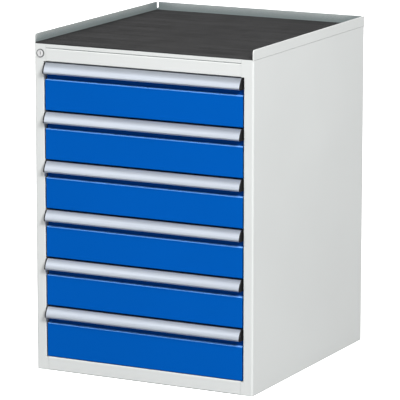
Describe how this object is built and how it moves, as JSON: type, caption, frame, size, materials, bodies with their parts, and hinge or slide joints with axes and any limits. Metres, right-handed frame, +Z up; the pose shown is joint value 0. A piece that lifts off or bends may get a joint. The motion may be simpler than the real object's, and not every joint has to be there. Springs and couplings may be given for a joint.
{
  "type": "multi-drawer workshop cabinet",
  "caption": "Floor-standing steel drawer cabinet with equal blue drawers on telescopic runners, full-width aluminium handle strips, a cylinder lock and a rimmed, rubber-covered tray top.",
  "frame": {"origin": "middle of the carcass's footprint on the floor", "axes": "+Z up, -Y out of the drawer fronts, +X to the right seen from the front"},
  "size_m": [0.58, 0.6345, 0.82],
  "materials": {
    "grey_paint": "fine-textured light grey powder coat",
    "ribbed_rubber": "finely ribbed black rubber",
    "zinc_steel": "bright zinc-plated steel",
    "lock_chrome": "nickel-plated lock",
    "black_plastic": "black moulded plastic",
    "blue_paint": "satin blue powder coat",
    "anodised_aluminium": "satin anodised extruded aluminium",
    "drawer_paint": "light grey powder coat"
  },
  "bodies": {
    "carcass": {"left_side_panel": "grey_paint", "right_side_panel": "grey_paint", "back_panel": "grey_paint", "base_pan": "grey_paint", "header_rail": "grey_paint", "plinth_rail": "grey_paint", "top_tray": "grey_paint", "top_mat": "ribbed_rubber", "rack_uprights": "zinc_steel", "back_panel_screws": "zinc_steel", "lock_nut": "zinc_steel", "lock_housing": "lock_chrome", "bar_guides": "black_plastic", "cabinet_rails_1": "zinc_steel", "cabinet_rails_2": "zinc_steel", "cabinet_rails_3": "zinc_steel", "cabinet_rails_4": "zinc_steel", "cabinet_rails_5": "zinc_steel", "cabinet_rails_6": "zinc_steel"},
    "drawer_1": {"drawer_front_1": "blue_paint", "drawer_box_1": "drawer_paint", "handle_1": "anodised_aluminium", "handle_caps_1": "black_plastic", "drawer_rails_1": "zinc_steel"},
    "middle_1": {"middle_rails_1": "zinc_steel"},
    "drawer_2": {"drawer_front_2": "blue_paint", "drawer_box_2": "drawer_paint", "handle_2": "anodised_aluminium", "handle_caps_2": "black_plastic", "drawer_rails_2": "zinc_steel"},
    "middle_2": {"middle_rails_2": "zinc_steel"},
    "drawer_3": {"drawer_front_3": "blue_paint", "drawer_box_3": "drawer_paint", "handle_3": "anodised_aluminium", "handle_caps_3": "black_plastic", "drawer_rails_3": "zinc_steel"},
    "middle_3": {"middle_rails_3": "zinc_steel"},
    "drawer_4": {"drawer_front_4": "blue_paint", "drawer_box_4": "drawer_paint", "handle_4": "anodised_aluminium", "handle_caps_4": "black_plastic", "drawer_rails_4": "zinc_steel"},
    "middle_4": {"middle_rails_4": "zinc_steel"},
    "drawer_5": {"drawer_front_5": "blue_paint", "drawer_box_5": "drawer_paint", "handle_5": "anodised_aluminium", "handle_caps_5": "black_plastic", "drawer_rails_5": "zinc_steel"},
    "middle_5": {"middle_rails_5": "zinc_steel"},
    "drawer_6": {"drawer_front_6": "blue_paint", "drawer_box_6": "drawer_paint", "handle_6": "anodised_aluminium", "handle_caps_6": "black_plastic", "drawer_rails_6": "zinc_steel"},
    "middle_6": {"middle_rails_6": "zinc_steel"},
    "lock_core": {"lock_plug": "lock_chrome", "lock_cam": "zinc_steel", "cam_screw": "zinc_steel"},
    "lock_bar": {"lock_bar": "zinc_steel", "bar_yoke": "zinc_steel"}
  },
  "joints": [
    {"name": "drawer_1_slide", "type": "slide", "parent": "carcass", "child": "drawer_1", "axis": [0, -1, 0], "range_m": [0, 0.53]},
    {"name": "middle_1_slide", "type": "slide", "parent": "carcass", "child": "middle_1", "axis": [0, -1, 0], "range_m": [0, 0.265]},
    {"name": "drawer_2_slide", "type": "slide", "parent": "carcass", "child": "drawer_2", "axis": [0, -1, 0], "range_m": [0, 0.53]},
    {"name": "middle_2_slide", "type": "slide", "parent": "carcass", "child": "middle_2", "axis": [0, -1, 0], "range_m": [0, 0.265]},
    {"name": "drawer_3_slide", "type": "slide", "parent": "carcass", "child": "drawer_3", "axis": [0, -1, 0], "range_m": [0, 0.53]},
    {"name": "middle_3_slide", "type": "slide", "parent": "carcass", "child": "middle_3", "axis": [0, -1, 0], "range_m": [0, 0.265]},
    {"name": "drawer_4_slide", "type": "slide", "parent": "carcass", "child": "drawer_4", "axis": [0, -1, 0], "range_m": [0, 0.53]},
    {"name": "middle_4_slide", "type": "slide", "parent": "carcass", "child": "middle_4", "axis": [0, -1, 0], "range_m": [0, 0.265]},
    {"name": "drawer_5_slide", "type": "slide", "parent": "carcass", "child": "drawer_5", "axis": [0, -1, 0], "range_m": [0, 0.53]},
    {"name": "middle_5_slide", "type": "slide", "parent": "carcass", "child": "middle_5", "axis": [0, -1, 0], "range_m": [0, 0.265]},
    {"name": "drawer_6_slide", "type": "slide", "parent": "carcass", "child": "drawer_6", "axis": [0, -1, 0], "range_m": [0, 0.53]},
    {"name": "middle_6_slide", "type": "slide", "parent": "carcass", "child": "middle_6", "axis": [0, -1, 0], "range_m": [0, 0.265]},
    {"name": "lock_turn", "type": "hinge", "parent": "carcass", "child": "lock_core", "pos_m": [-0.273, -0.31, 0.774], "axis": [0, -1, 0], "range_deg": [0, 90]},
    {"name": "lock_bar_lift", "type": "slide", "parent": "carcass", "child": "lock_bar", "axis": [0, 0, 1], "range_m": [0, 0.01414]}
  ],
  "couplings": [
    {"joint": "middle_1_slide", "follows": "drawer_1_slide", "ratio": 0.5},
    {"joint": "middle_2_slide", "follows": "drawer_2_slide", "ratio": 0.5},
    {"joint": "middle_3_slide", "follows": "drawer_3_slide", "ratio": 0.5},
    {"joint": "middle_4_slide", "follows": "drawer_4_slide", "ratio": 0.5},
    {"joint": "middle_5_slide", "follows": "drawer_5_slide", "ratio": 0.5},
    {"joint": "middle_6_slide", "follows": "drawer_6_slide", "ratio": 0.5},
    {"joint": "lock_turn", "follows": "lock_bar_lift", "rad_per_m": 111.07}
  ]
}
